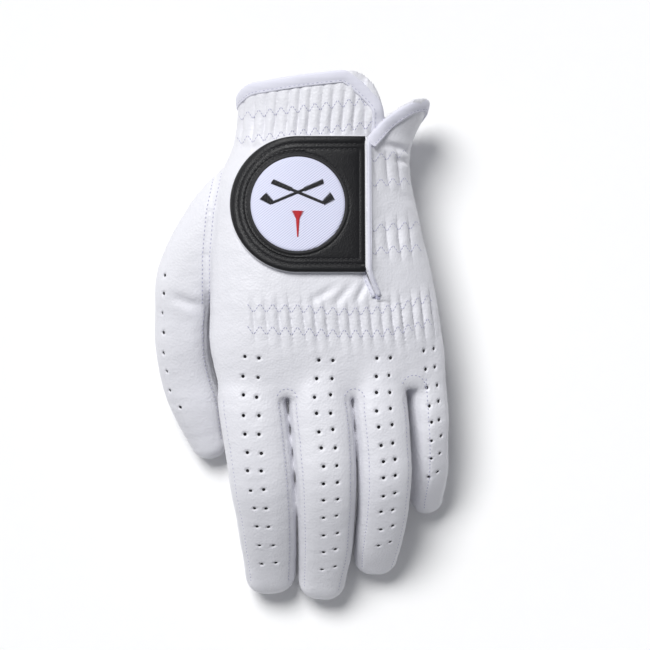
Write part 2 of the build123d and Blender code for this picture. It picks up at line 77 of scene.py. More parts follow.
UP = Vector((0.0, 0.0, 1.0))


def put(x, y, z=0.0):
    """A pattern point as a place in the shared frame."""
    return (Vector((x, y, z)) + HOME) * MM


def pattern(co):
    """A place in the shared frame as a pattern point."""
    return co / MM - HOME


# ------------ camera, lights, floor
def aim(obj, place, target):
    """Puts a light at a place, facing its target."""
    obj.location = place
    obj.rotation_euler = (target - place).to_track_quat("-Z", "Y").to_euler()
    bpy.context.collection.objects.link(obj)
    return obj


def camera():
    """Straight above the back of the hand, far enough away to look flat."""
    height, field, glove_level = 2.6, 0.2691, 0.035
    data = bpy.data.cameras.new("camera")
    data.angle = 2 * math.atan(field / 2 / (height - glove_level))
    data.clip_end = 20.0
    eye = bpy.data.objects.new("camera", data)
    centre = put(10.6, 5.2)
    eye.location = (centre.x, centre.y, height)
    bpy.context.collection.objects.link(eye)
    bpy.context.scene.camera = eye


def studio():
    """One soft key from the wrist and thumb side, with an even fill all round."""
    bpy.context.scene.view_settings.view_transform = "Standard"
    data = bpy.data.lights.new("key", "SUN")
    data.energy, data.angle, data.color = 3.0, 0.5, (1.0, 1.0, 1.0)
    aim(bpy.data.objects.new("key", data), Vector((-0.36, 0.60, 1.0)), Vector((0.0, 0.0, 0.0)))
    world = bpy.data.worlds.new("world")
    bpy.context.scene.world = world
    world.use_nodes = True
    back = world.node_tree.nodes["Background"]
    back.inputs["Color"].default_value = (0.93, 0.95, 1.0, 1.0)
    back.inputs["Strength"].default_value = 0.25


def floor():
    """A wide pale sheet just under the glove."""
    bm = bmesh.new()
    bmesh.ops.create_grid(bm, x_segments=2, y_segments=2, size=3.0)
    for vert in bm.verts:
        vert.co.z = CAD_BOX[0][2] - 0.0006
    obj = finish_mesh(bm, "floor", [floor_paper()])


# ------------ materials
class Finish:
    """A material under way: its nodes, joined one to the next."""

    def __init__(self, name, colour, roughness, sheen=0.0, specular=0.5):
        self.material = bpy.data.materials.new(name)
        self.material.use_nodes = True
        self.nodes = self.material.node_tree.nodes
        self.links = self.material.node_tree.links
        self.shader = self.nodes["Principled BSDF"]
        self.shader.inputs["Base Color"].default_value = (*colour, 1.0)
        self.shader.inputs["Roughness"].default_value = roughness
        self.shader.inputs["Sheen Weight"].default_value = sheen
        self.shader.inputs["Specular IOR Level"].default_value = specular
        self.where = self.nodes.new("ShaderNodeTexCoord").outputs["Object"]

    def node(self, kind, output, settings):
        """One output of a new node, its inputs set to values or joined to other outputs."""
        node = self.nodes.new("ShaderNode" + kind)
        for name, value in settings.items():
            if isinstance(value, bpy.types.NodeSocket):
                self.links.new(value, node.inputs[name])
            else:
                node.inputs[name].default_value = value
        return node.outputs[output]

    def noise(self, size, detail=3.0):
        """Soft unevenness of about one size in mm."""
        return self.node("TexNoise", "Fac", {"Scale": 1.0 / (size * MM), "Detail": detail,
                                             "Vector": self.where})

    def pores(self, size):
        """Small cells of about one size in mm."""
        return self.node("TexVoronoi", "Distance", {"Scale": 1.0 / (size * MM), "Vector": self.where})

    def ribs(self, spacing, angle):
        """Fine ribs at a spacing in mm, turned by an angle."""
        turned = self.node("Mapping", "Vector", {"Rotation": (0.0, 0.0, math.radians(angle)),
                                                 "Vector": self.where})
        return self.node("TexWave", "Fac", {"Scale": math.pi / 10 / (spacing * MM), "Distortion": 0.4,
                                            "Vector": turned})

    def colours(self, value, dark, light):
        """A colour that runs from dark to light with a value."""
        node = self.nodes.new("ShaderNodeMix")
        node.data_type = "RGBA"
        node.inputs["A"].default_value = (*dark, 1.0)
        node.inputs["B"].default_value = (*light, 1.0)
        self.links.new(value, node.inputs["Factor"])
        self.links.new(node.outputs["Result"], self.shader.inputs["Base Color"])

    def roughness(self, value, low, high):
        """A roughness that runs from low to high with a value."""
        ranged = self.node("MapRange", "Result", {"To Min": low, "To Max": high, "Value": value})
        self.links.new(ranged, self.shader.inputs["Roughness"])

    def relief(self, *layers):
        """Bumps from (value, strength, depth in mm), coarse to fine."""
        normal = None
        for value, strength, depth in layers:
            below = {"Normal": normal} if normal else {}
            normal = self.node("Bump", "Normal", {"Strength": strength, "Distance": depth * MM,
                                                  "Height": value, **below})
        self.links.new(normal, self.shader.inputs["Normal"])


def white_leather():
    """Soft white glove leather with fine pores."""
    look = Finish("white_leather", (0.77, 0.77, 0.81), 0.5, sheen=0.12)
    look.colours(look.noise(30.0), (0.74, 0.74, 0.79), (0.79, 0.79, 0.83))
    look.roughness(look.noise(4.0), 0.42, 0.58)
    look.relief((look.noise(3.0, 4.0), 0.5, 0.3), (look.pores(0.95), 0.6, 0.18),
                (look.noise(0.35), 0.3, 0.06))
    return look.material


def suede():
    """The leather's rough inner face, coloured grey as painted shade so that the glove's inside and its
    perforations look dark.
    """
    # Painted shade: the inside is grey so it reads dark through the holes and the wrist; the mottling is
    # the suede's own unevenness.
    look = Finish("suede_inside_painted_shade", (0.55, 0.54, 0.56), 0.95)
    look.colours(look.noise(2.0), (0.50, 0.49, 0.52), (0.62, 0.61, 0.63))
    look.relief((look.noise(0.5, 4.0), 0.6, 0.2))
    return look.material


def black_leather():
    """The tab's grained black leather."""
    look = Finish("black_leather", (0.006, 0.006, 0.007), 0.42, specular=0.35)
    look.colours(look.noise(1.2), (0.004, 0.004, 0.005), (0.010, 0.010, 0.012))
    look.roughness(look.noise(2.0), 0.36, 0.55)
    look.relief((look.noise(1.6, 4.0), 0.4, 0.18), (look.pores(0.5), 0.6, 0.14),
                (look.noise(0.25), 0.4, 0.06))
    return look.material


def badge_twill():
    """White twill with slanting ribs."""
    look = Finish("badge_twill", (0.70, 0.71, 0.88), 0.6, sheen=0.2)
    ribs = look.ribs(0.85, 52.0)
    look.colours(ribs, (0.64, 0.66, 0.86), (0.76, 0.77, 0.92))
    look.relief((ribs, 0.7, 0.15), (look.noise(0.3), 0.3, 0.05))
    return look.material


def woven(name, dark, light, spacing, angle=0.0):
    """Woven tape or elastic, ribbed both ways."""
    look = Finish(name, light, 0.7, sheen=0.25)
    ribs = look.ribs(spacing, angle)
    look.colours(ribs, dark, light)
    look.roughness(look.noise(1.5), 0.55, 0.75)
    look.relief((ribs, 0.5, 0.12), (look.ribs(spacing, angle + 90.0), 0.4, 0.1))
    return look.material


def pile(name, dark, light, size):
    """The pile of a hook or loop pad."""
    look = Finish(name, light, 0.95)
    dots = look.pores(size)
    look.colours(dots, dark, light)
    look.relief((dots, 1.0, 0.4), (look.noise(0.3), 0.5, 0.1))
    return look.material


def thread(name, dark, light, sheen=0.3):
    """Twisted sewing thread."""
    look = Finish(name, light, 0.5, sheen, 0.3)
    twist = look.ribs(0.3, 35.0)
    look.colours(twist, dark, light)
    look.relief((twist, 0.6, 0.08))
    return look.material


def floor_paper():
    """Plain white paper."""
    look = Finish("floor_paper", (0.9, 0.9, 0.9), 0.9)
    look.colours(look.noise(8.0), (0.965, 0.965, 0.965), (0.98, 0.98, 0.98))
    return look.material


FINISHES = {
    "white_leather": white_leather(),
    "suede": suede(),
    "black_leather": black_leather(),
    "twill": badge_twill(),
    "binding": woven("binding_tape", (0.70, 0.70, 0.80), (0.80, 0.80, 0.89), 0.5, 90.0),
    "elastic": woven("elastic", (0.62, 0.62, 0.66), (0.80, 0.80, 0.83), 0.9),
    "loop": pile("loop_pile", (0.60, 0.60, 0.64), (0.85, 0.85, 0.88), 0.5),
    "hook": pile("hook_pile", (0.50, 0.50, 0.54), (0.84, 0.84, 0.87), 0.9),
    "lavender_thread": thread("lavender_thread", (0.42, 0.42, 0.55), (0.56, 0.56, 0.70)),
    "black_thread": thread("black_thread", (0.006, 0.006, 0.007), (0.035, 0.035, 0.038), 0.1),
    "red_thread": thread("red_thread", (0.42, 0.01, 0.015), (0.72, 0.04, 0.05)),
}
# The slots whose names differ from their finishes.
SLOTS = {"twill": "badge_twill", "loop": "hook_and_loop", "hook": "hook_and_loop",
         "lavender_thread": "binding"}


# ------------ mesh helpers
def finish_mesh(bm, name, materials):
    """The bmesh as a smooth-shaded object at the origin."""
    mesh = bpy.data.meshes.new(name)
    bm.to_mesh(mesh)
    bm.free()
    for material in materials:
        mesh.materials.append(material)
    mesh.shade_smooth()
    obj = bpy.data.objects.new(name, mesh)
    bpy.context.collection.objects.link(obj)
    return obj


def settled(obj):
    """The object with its modifiers made part of its mesh."""
    graph = bpy.context.evaluated_depsgraph_get()
    mesh = bpy.data.meshes.new_from_object(obj.evaluated_get(graph))
    obj.modifiers.clear()
    obj.data = mesh
    return obj


def sewn_on(obj, finish, body, nodes):
    """Moves the piece with the body and hides the CAD nodes it stands for; the finish's slot name is looked
    up but not kept.
    """
    SLOTS.get(finish, finish)
    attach(obj, body)
    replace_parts(obj, *nodes)
    return obj


def closed_piece(bm, name, finish, body, nodes):
    """A closed piece of one finish, its faces outwards."""
    bmesh.ops.recalc_face_normals(bm, faces=bm.faces)
    return sewn_on(finish_mesh(bm, name, [FINISHES[finish]]), finish, body, nodes)


def tree_of(points):
    """A search tree of points."""
    tree = KDTree(len(points))
    for i, point in enumerate(points):
        tree.insert(point, i)
    tree.balance()
    return tree


def bmesh_of(obj):
    """A copy of a piece's mesh to work on."""
    bm = bmesh.new()
    bm.from_mesh(obj.data)
    return bm


# ------------ the worn hand's form
HAND_SQUARE = 2.5
DIGIT_SQUARE = 2.7
HAND = [
    (-21.0, -33.6, 57.4, 25.0, 46.6, 7.0),
    (-10.0, -35.8, 58.6, 21.0, 48.8, 7.0),
    (2.0, -37.2, 58.8, 17.6, 50.8, 7.0),
    (20.0, -36.8, 56.2, 14.0, 51.8, 7.0),
    (45.0, -36.2, 50.4, 9.0, 51.3, 6.0),
    (65.0, -33.4, 46.2, 5.0, 49.8, 5.0),
    (80.0, -27.0, 46.2, 3.0, 48.4, 4.0),
    (96.0, -25.4, 53.0, 1.8, 48.2, 3.0),
    (116.0, -26.6, 56.0, 0.8, 48.8, 2.0),
]
FRONT = [
    (-24.2, -29.0, 43.0, 26.0, 46.0, 7.0),
    (-10.0, -33.0, 46.0, 22.0, 48.6, 7.0),
    (6.0, -34.0, 50.0, 20.0, 49.6, 7.0),
]
DIGITS = {
    "index_finger": (-3.0, [
        (-20.4, 6.0, 36.0, 12.6, 10.4), (-20.3, -14.0, 36.8, 13.2, 11.1),
        (-19.6, -26.0, 37.4, 13.4, 11.3), (-17.5, -42.4, 37.0, 13.2, 10.8),
        (-15.5, -59.0, 34.3, 12.8, 10.4), (-13.9, -73.0, 27.6, 11.8, 9.8),
        (-12.8, -86.0, 18.4, 10.9, 9.4), (-12.2, -97.8, 9.6, 10.0, 8.8),
    ]),
    "middle_finger": (3.0, [
        (6.0, 6.0, 37.4, 11.2, 10.4), (7.6, -14.0, 37.8, 12.0, 11.1),
        (8.4, -26.0, 38.2, 12.3, 11.2), (10.0, -42.4, 38.0, 12.3, 10.8),
        (11.0, -59.0, 36.0, 11.8, 10.3), (11.1, -75.0, 27.6, 11.2, 9.7),
        (10.5, -89.0, 17.6, 10.4, 9.2), (9.2, -100.6, 9.2, 9.4, 8.4),
    ]),
    "ring_finger": (12.0, [
        (29.0, 6.0, 35.0, 9.4, 9.8), (32.0, -14.0, 35.6, 10.2, 10.6),
        (33.0, -26.0, 35.9, 10.5, 10.6), (34.7, -42.4, 35.6, 10.5, 10.0),
        (35.3, -59.0, 32.4, 10.3, 9.6), (34.4, -72.0, 25.2, 9.9, 9.2),
        (32.9, -83.0, 16.4, 9.3, 8.8), (31.6, -90.6, 8.8, 8.4, 8.0),
    ]),
    "little_finger": (30.0, [
        (49.0, 10.0, 29.4, 7.0, 8.5), (51.6, -5.0, 29.6, 7.1, 8.4),
        (52.5, -17.6, 29.2, 7.0, 8.2), (53.4, -30.0, 28.2, 6.6, 7.9),
        (54.0, -42.4, 25.6, 6.4, 7.6), (54.0, -55.0, 18.6, 6.3, 7.3),
        (52.6, -66.0, 8.3, 6.0, 6.9),
    ]),
    "thumb": (0.0, [
        (-20.0, 68.0, 25.0, 10.0, 11.0), (-30.0, 52.0, 26.0, 14.2, 13.0),
        (-39.8, 38.0, 25.5, 13.6, 12.6), (-46.6, 24.0, 24.2, 12.6, 11.8),
        (-48.5, 10.0, 22.2, 11.3, 11.0), (-48.6, -4.0, 19.6, 11.0, 10.4),
        (-46.4, -17.0, 15.8, 10.8, 9.9), (-42.2, -30.0, 12.0, 9.8, 9.2),
        (-38.0, -43.0, 8.0, 7.2, 7.2),
    ]),
}
ROOT_LINE = {"index_finger": -24.6, "middle_finger": -24.6, "ring_finger": -24.6,
             "little_finger": -15.2, "thumb": 12.4}
SLEEVE = 16.0


def eased(stations, share):
    """A smooth curve through the stations, at a share of its length in stations."""
    rows = np.array(stations, float)
    slopes = np.gradient(rows, axis=0)
    place = share * (len(rows) - 1)
    i = min(int(place), len(rows) - 2)
    t = place - i
    h = (2 * t**3 - 3 * t**2 + 1, t**3 - 2 * t**2 + t, 3 * t**2 - 2 * t**3, t**3 - t**2)
    return h[0] * rows[i] + h[1] * slopes[i] + h[2] * rows[i + 1] + h[3] * slopes[i + 1]


def rounded(section, angle, square):
    """A point of a section's superellipse outline."""
    centre, across, up, half_width, half_height = section
    c, s = math.cos(angle), math.sin(angle)
    reach = (abs(c / half_width) ** square + abs(s / half_height) ** square) ** (-1 / square)
    return centre + across * (reach * c) + up * (reach * s)


def hand_section(row):
    """A section across the hand: its middle, directions and half sizes."""
    y, left, right, low, high, roll = row
    angle = math.radians(roll)
    across = Vector((math.cos(angle), 0.0, -math.sin(angle)))
    up = Vector((math.sin(angle), 0.0, math.cos(angle)))
    centre = Vector(((left + right) / 2, y, (low + high) / 2))
    return centre, across, up, (right - left) / 2, (high - low) / 2


def digit_section(digit, share):
    """A section across a digit, square to the way it runs."""
    roll, stations = DIGITS[digit]
    here = eased(stations, share)
    ahead, behind = eased(stations, min(share + 0.02, 1.0)), eased(stations, max(share - 0.02, 0.0))
    along = (Vector(ahead[:3]) - Vector(behind[:3])).normalized()
    level = Vector((-along.y, along.x, 0.0)).normalized()
    over = level.cross(along).normalized()
    if over.z < 0:
        over.negate()
    angle = math.radians(roll)
    across = level * math.cos(angle) - over * math.sin(angle)
    up = over * math.cos(angle) + level * math.sin(angle)
    return (Vector(here[:3]), across, up, here[3], here[4]), along


def digit_sections(digit, steps=30):
    """Sections from the root to the rounded tip."""
    sections = [digit_section(digit, i / steps)[0] for i in range(steps + 1)]
    (centre, across, up, width, thick), along = digit_section(digit, 1.0)
    for i in range(1, 8):
        turn = math.radians(90 * i / 8)
        size = math.cos(turn)
        place = centre + along * (math.sin(turn) * thick)
        sections.append((place, across, up, width * size, thick * size))
    return sections


def loft_rings(bm, rings, caps=True):
    """A skin through closed rings of points: one ring of edges, extruded from each to the next."""
    count = len(rings[0])
    loop = bmesh.ops.create_circle(bm, cap_ends=False, segments=count, radius=1.0)["verts"]
    edges = list({e for v in loop for e in v.link_edges})
    first = list(edges)
    for vert, point in zip(loop, rings[0]):
        vert.co = point
    for ring in rings[1:]:
        made = bmesh.ops.extrude_edge_only(bm, edges=edges)["geom"]
        edges = [g for g in made if isinstance(g, bmesh.types.BMEdge)]
        place = {vert: i for i, vert in enumerate(loop)}
        fresh = [None] * count
        for vert in (g for g in made if isinstance(g, bmesh.types.BMVert)):
            old = next(o for o in (e.other_vert(vert) for e in vert.link_edges) if o in place)
            fresh[place[old]] = vert
        loop = fresh
        for vert, point in zip(loop, ring):
            vert.co = point
    if caps:
        bmesh.ops.holes_fill(bm, edges=first + edges, sides=0)
    return bm


def tube(bm, sections, square, sides=40):
    """A closed form through rounded sections, in pattern millimetres."""
    angles = [2 * math.pi * i / sides for i in range(sides)]
    loft_rings(bm, [[put(*rounded(section, a, square)) for a in angles] for section in sections])


def worn_form():
    """The whole closed form, its hand and digits grown together into even quads."""
    bm = bmesh.new()
    hand = [hand_section(eased(HAND, i / 24)) for i in range(25)]
    tube(bm, hand, HAND_SQUARE, 64)
    tube(bm, [hand_section(row) for row in FRONT], HAND_SQUARE, 64)
    for digit in DIGITS:
        tube(bm, digit_sections(digit), DIGIT_SQUARE)
    bmesh.ops.recalc_face_normals(bm, faces=bm.faces)
    obj = finish_mesh(bm, "skin_form", [])
    remesh = obj.modifiers.new("merge", "REMESH")
    remesh.mode = "VOXEL"
    remesh.voxel_size = VOXEL * MM
    settled(obj)
    bm = bmesh_of(obj)
    bpy.data.objects.remove(obj)
    knuckles = [v for v in bm.verts if -29.0 < pattern(v.co).y < 12.0 and v.normal.z > 0.2]
    for verts, rounds in ((bm.verts, 4), (knuckles, 26)):
        for _ in range(rounds):
            bmesh.ops.smooth_vert(bm, verts=verts, factor=0.5, use_axis_x=True,
                                  use_axis_y=True, use_axis_z=True)
    bm.normal_update()
    return bm


# ------------ lines sewn over the skin
def seam_line(digit, side, palm=False, inset=1.9, start=0.0):
    """A finger's long seam, beside its slit, as points from root to tip."""
    points = []
    for i in range(81):
        section, along = digit_section(digit, i / 80)
        centre, across, up, width, thick = section
        x = width - inset
        z = thick * (1 - (x / width) ** DIGIT_SQUARE) ** (1 / DIGIT_SQUARE)
        point = centre + across * (x * side) + up * (-z if palm else z)
        if point.y < ROOT_LINE[digit] + start:
            points.append(point)
    return points


def line_at(points, x):
    """A row's height at x, from a few points."""
    return np.interp(x, *zip(*points))


class Gather:
    """A band gathered by elastic: two zigzag rows with puffs between them."""

    def __init__(self, upper, lower, spacing, depth, fade_up, fade_down, slant=0.12):
        self.finest = (upper[0][0] - 3, upper[-1][0] + 5, lower[0][1] - 5, upper[-1][1] + 6)
        self.upper, self.lower, self.depth = upper, lower, depth
        self.fade_up, self.fade_down, self.slant = fade_up, fade_down, slant
        first, last = upper[0][0], upper[-1][0]
        xs = np.linspace(first, last, 200)
        pitch = np.interp(xs, [first, last], spacing)
        turns = np.concatenate([[0], np.cumsum(np.diff(xs) / pitch[:-1])])
        self.xs, self.turns = xs, turns
        self.range = (first, last)

    def height(self, x, y):
        """How far the leather stands out or sinks at a point."""
        top, bottom = line_at(self.upper, x), line_at(self.lower, x)
        middle, half = (top + bottom) / 2, (top - bottom) / 2
        away = y - middle
        turn = np.interp(x + self.slant * away, self.xs, self.turns)
        puff = np.abs(np.sin(math.pi * (turn + 0.5))) ** 0.8 - 0.62
        fold = np.floor(turn + 0.5)
        uneven = 0.75 + 0.35 * np.sin(fold * 12.9) * np.sin(fold * 4.1 + 1.0)
        above = np.exp(-np.clip((away - half) / (self.fade_up * uneven), 0, 9) ** 2)
        below = np.exp(-np.clip((-away - half) / (self.fade_down * uneven), 0, 9) ** 2)
        ends = np.clip((x - self.range[0] + 1.5) / 4.0, 0, 1) * np.clip((self.range[1] + 4 - x) / 4.0, 0, 1)
        pinch = 1 + 0.25 * np.cos(np.clip(np.abs(away) / half, 0, 1) * math.pi)
        return self.depth * puff * above * below * ends * uneven * pinch

    def rows(self, swing):
        """The two zigzag rows as corner points."""
        count = int(self.turns[-1] * 2)
        for row in (self.upper, self.lower):
            corners = []
            for i in range(count + 1):
                x = float(np.interp(i / 2, self.turns, self.xs))
                lift = swing if i % 2 == 0 else -swing
                corners.append((x, float(line_at(row, x)) + lift))
            yield corners


KNUCKLES = Gather(
    [(-21.5, 12.2), (0.0, 12.0), (18.0, 10.6), (34.0, 11.4), (43.0, 13.4), (50.5, 15.4), (56.0, 17.0)],
    [(-21.5, 3.2), (0.0, 2.6), (18.0, 1.6), (34.0, 1.8), (43.0, 3.4), (50.5, 5.4), (56.0, 7.2)],
    (5.4, 3.9), 1.75, 5.0, 8.0)
CUFF = Gather(
    [(-26.0, 91.4), (0.0, 94.2), (24.0, 97.2), (33.0, 97.0)],
    [(-26.0, 81.4), (0.0, 84.2), (24.0, 87.2), (33.0, 88.0)],
    (4.6, 4.7), 1.7, 30.0, 3.0, -0.08)
LITTLE_UPPER = Gather([(28.5, 73.6), (48.0, 77.0)], [(28.5, 63.6), (48.0, 65.0)],
                      (5.2, 4.6), 1.5, 3.0, 3.5)
LITTLE_MIDDLE = Gather([(28.5, 45.0), (52.0, 47.0)], [(28.5, 35.6), (52.0, 37.4)],
                       (5.2, 4.6), 1.5, 4.0, 5.0)
BANDS = [KNUCKLES, CUFF, LITTLE_UPPER, LITTLE_MIDDLE]

FLAP_START = 35.0
SLIT = [(FLAP_START, 90.4), (27.5, 82.2), (27.8, 27.0), (31.8, 17.4)]
THUMB_CUFF = [(-60.0, 97.5), (-27.0, 99.2), (-24.6, 102.6), (-20.0, 105.2), (0.0, 108.2),
              (16.0, 110.0), (22.5, 110.2), (26.5, 108.6), (31.0, 104.4), (33.6, 98.4), (FLAP_START, 92.6)]
FLAP_CUFF = [(FLAP_START, 90.4), (41.5, 95.2), (48.0, 98.6), (54.0, 99.2), (70.0, 98.4)]
PALM_CUFF = [(-60.0, 97.0), (-26.0, 98.6), (14.0, 102.4), (25.0, 96.0), (34.0, 86.5), (44.0, 88.5),
             (53.0, 95.4), (70.0, 97.0)]
SIDE_SEAM = [(-33.6, 69.0), (-37.0, 52.0), (-38.6, 34.0), (-38.8, 13.5)]
FOLDS = [
    ((27.5, 23.0), (23.0, 14.0), 1.3, 1.5), ((21.0, 21.5), (14.5, 13.5), 1.1, 1.8),
    ((14.5, 21.0), (4.5, 14.5), 0.8, 1.8), ((33.0, 17.0), (37.0, 12.5), 0.9, 1.6),
    ((-52.5, 16.8), (-40.5, 12.4), 1.6, 2.4), ((40.0, 73.4), (50.0, 71.4), 1.7, 1.3),
    ((33.0, 80.2), (50.0, 76.6), 2.0, 1.5), ((41.0, 60.0), (47.5, 55.0), 0.7, 2.0),
    ((-25.0, 79.0), (-13.0, 77.5), 0.6, 2.0),
]


def away_from(x, y, a, b):
    """Distance from points to the stretch a to b, and the share along it."""
    (ax, ay), (bx, by) = a, b
    dx, dy = bx - ax, by - ay
    t = np.clip(((x - ax) * dx + (y - ay) * dy) / (dx * dx + dy * dy), 0, 1)
    return np.hypot(x - ax - t * dx, y - ay - t * dy), t


def ripple(points, size, seed):
    """A soft unevenness of about one size, the same each time."""
    rng = np.random.default_rng(seed)
    total = np.zeros(len(points))
    for _ in range(7):
        way = rng.normal(size=3)
        way *= 2 * math.pi / size / np.linalg.norm(way) * rng.uniform(0.7, 1.3)
        total += np.sin(points @ way + rng.uniform(0, 6.28))
    return total / 3.0


SHRUNK = 0.34  # what smoothing took off the whole form
DIGIT_SHRUNK = 0.3  # and what more it took off the fingers
SEAM_RIDGE, SEAM_GROOVE, SEAM_WIDTH = 0.12, 0.3, 0.8
FLAP_LIFT = 4.0


def shape_leather(bm):
    """Gathers, folds, seams pulled in and the leather's own unevenness."""
    fine = set()
    for face in bm.faces:
        if face.normal.z > 0.15:
            p = pattern(face.calc_center_median())
            if any(x0 < p.x < x1 and y0 < p.y < y1 for x0, x1, y0, y1 in (b.finest for b in BANDS)):
                fine.add(face)
    edges = {e for face in fine for e in face.edges if all(f in fine for f in e.link_faces)}
    bmesh.ops.subdivide_edges(bm, edges=list(edges), cuts=1, use_grid_fill=True)
    bm.normal_update()
    verts = list(bm.verts)
    points = np.array([v.co for v in verts]) / MM - np.array(HOME)
    normals = np.array([v.normal for v in verts])
    x, y = points[:, 0], points[:, 1]
    top = np.clip((normals[:, 2] + 0.1) / 0.5, 0, 1)
    rise = np.zeros(len(verts))
    edge = np.array([cuff_line(px, nz) for px, nz in zip(x, normals[:, 2])])
    flat = np.clip((edge - y - 3.6) / 3.0, 0.12, 1)
    for band in BANDS:
        rise += band.height(x, y) * top * flat
    for a, b, depth, width in FOLDS:
        distance, share = away_from(x, y, a, b)
        strength = np.sin(math.pi * np.clip(share * 0.8 + 0.1, 0, 1))
        valley = np.exp(-((distance / width) ** 2)) - 0.45 * np.exp(-((distance / width / 2.2) ** 2))
        rise -= depth * valley * strength * top
    rise += 0.16 * ripple(points, 24.0, 3) + 0.05 * ripple(points, 7.0, 5)
    seams = [p for digit in DIGITS for side in (-1, 1) for palm in (False, True)
             for p in seam_line(digit, side, palm)]
    tree = tree_of(seams)
    for i in np.nonzero(y < 14.0)[0]:
        distance = tree.find(points[i])[2]
        if distance < 4.0:
            ridge = math.exp(-(((distance - 1.5) / SEAM_WIDTH) ** 2))
            groove = math.exp(-((distance / SEAM_WIDTH) ** 2))
            rise[i] += SEAM_RIDGE * ridge - SEAM_GROOVE * groove
    for a, b in zip(SIDE_SEAM, SIDE_SEAM[1:]):
        distance, _ = away_from(x, y, a, b)
        rise -= 0.35 * np.exp(-((distance / 1.0) ** 2)) * top
    rise += SHRUNK + DIGIT_SHRUNK * np.clip((-19.0 - y) / 6.0, 0, 1)
    lift = FLAP_LIFT * top * np.clip((y - 84.0) / 14.0, 0, 1) * np.clip((x - 38.0) / 12.0, 0, 1)
    for i, vert in enumerate(verts):
        vert.co += vert.normal * (rise[i] * MM) + Vector((0.0, 0.0, lift[i] * MM))
    bm.normal_update()


# ------------ opening the wrist
def cuff_line(x, up):
    """How far the cuff reaches at x, on the back (up is 1) or the palm (up is 0)."""
    back = line_at(THUMB_CUFF, x) if x <= FLAP_START else line_at(FLAP_CUFF, x)
    share = min(max((up + 0.3) / 0.6, 0.0), 1.0)
    return line_at(PALM_CUFF, x) + (back - line_at(PALM_CUFF, x)) * share


CUFF_END = 111.5


def open_wrist(bm):
    """Cuts the cuff's edge and lets the hand in."""
    gone = []
    for vert in bm.verts:
        p = pattern(vert.co)
        if p.y > cuff_line(p.x, vert.normal.z) + 0.1 or p.y > CUFF_END:
            gone.append(vert)
    bmesh.ops.delete(bm, geom=gone, context="VERTS")
    rim = [v for v in bm.verts if v.is_boundary]
    for vert in rim:
        p = pattern(vert.co)
        vert.co.y = put(0, cuff_line(p.x, vert.normal.z)).y
    bmesh.ops.smooth_vert(bm, verts=rim, factor=0.4, use_axis_x=True, use_axis_y=True, use_axis_z=True)
    bm.normal_update()


LAP = 2.9  # the little-finger side lies this much higher along the tab
EDGE_ROLL, EDGE_SINK, EDGE_REACH = 0.9, 1.0, 4.0


def open_slit(bm):
    """Cuts the slit on the back and laps its little-finger side over its thumb side."""
    for a, b in zip(SLIT, SLIT[1:]):
        start, end = put(*a), put(*b)
        way = end - start
        across = Vector((-way.y, way.x, 0.0)).normalized()
        low, high = min(a[1], b[1]) - 0.3, max(a[1], b[1]) + 0.3
        near = [f for f in bm.faces if f.normal.z > 0.2
                and low < pattern(f.calc_center_median()).y < high
                and abs((f.calc_center_median() - start).dot(across)) < 2.5 * MM]
        geom = list({v for f in near for v in f.verts}) + list({e for f in near for e in f.edges}) + near
        bmesh.ops.bisect_plane(bm, geom=geom, plane_co=start, plane_no=across, dist=1e-6)
        cut = []
        for edge in bm.edges:
            if all(abs((v.co - start).dot(across)) < 2e-6 for v in edge.verts):
                middle = pattern((edge.verts[0].co + edge.verts[1].co) / 2)
                if low < middle.y < high and middle.z > BACK_FROM:
                    cut.append(edge)
        bmesh.ops.split_edges(bm, edges=cut)
    bm.normal_update()
    for vert in bm.verts:
        p = pattern(vert.co)
        if p.z < BACK_FROM or p.y < 15.0:
            continue
        middle = pattern(sum((f.calc_center_median() for f in vert.link_faces), Vector())
                         / max(len(vert.link_faces), 1))
        gap = beyond_slit(middle.x, middle.y)
        along_tab = min(max((p.y - 19.0) / 10.0, 0.0), 1.0) * min(max((86.0 - p.y) / 6.0, 0.0), 1.0)
        close = math.exp(-((gap / EDGE_REACH) ** 2))
        if gap > 0:
            vert.co.z += (EDGE_ROLL * close + LAP * along_tab / (1 + (gap / 3.6) ** 2.6)) * MM
        else:
            vert.co.z -= EDGE_SINK * close * min(max((p.y - 17.0) / 8.0, 0), 1) * MM
    bm.normal_update()


def beyond_slit(x, y):
    """Distance from the slit, more than 0 on its little-finger side."""
    (ax, ay), (bx, by), (cx, cy), (dx, dy) = SLIT
    below_flap = by + (x - bx) * (ay - by) / (ax - bx) - y
    if y > by:
        return below_flap if x > bx else x - bx
    away = x - float(np.interp(y, [dy, cy, by], [dx, cx, bx]))
    if y >= by - 6.0 and x > bx:
        return min(away, below_flap)
    return away


# ------------ perforations
def spread(points, count):
    """Evenly spaced places along a line of points."""
    line = [Vector((*p, 0.0)) for p in points]
    lengths = [0.0]
    for a, b in zip(line, line[1:]):
        lengths.append(lengths[-1] + (b - a).length)
    places = []
    for i in range(count):
        at = lengths[-1] * i / (count - 1)
        places.append((float(np.interp(at, lengths, [p.x for p in line])),
                       float(np.interp(at, lengths, [p.y for p in line]))))
    return places


HOLE_ROWS = [
    ([(-22.6, -8.1), (-23.4, -24.6), (-20.9, -58.6), (-15.5, -94.2)], 12),
    ([(-16.4, -8.9), (-17.6, -24.6), (-15.1, -59.0), (-10.1, -93.8)], 12),
    ([(8.1, -9.7), (6.4, -25.5), (10.4, -58.2), (9.7, -96.5)], 13),
    ([(13.9, -9.7), (12.6, -25.5), (15.9, -57.3), (15.1, -95.4)], 13),
    ([(32.3, -8.9), (31.7, -24.6), (35.0, -56.3), (32.9, -86.7)], 12),
    ([(37.5, -8.5), (37.5, -24.2), (40.0, -54.9), (38.1, -85.0)], 12),
    ([(51.5, -5.6), (54.0, -29.2), (55.0, -44.1), (53.6, -58.0)], 8),
    ([(55.7, -4.8), (57.6, -27.5), (58.6, -42.0), (57.6, -55.6)], 8),
    ([(-55.6, 26.3), (-57.0, 10.1), (-56.6, -6.4), (-54.0, -22.6), (-49.6, -28.8)], 8),
]
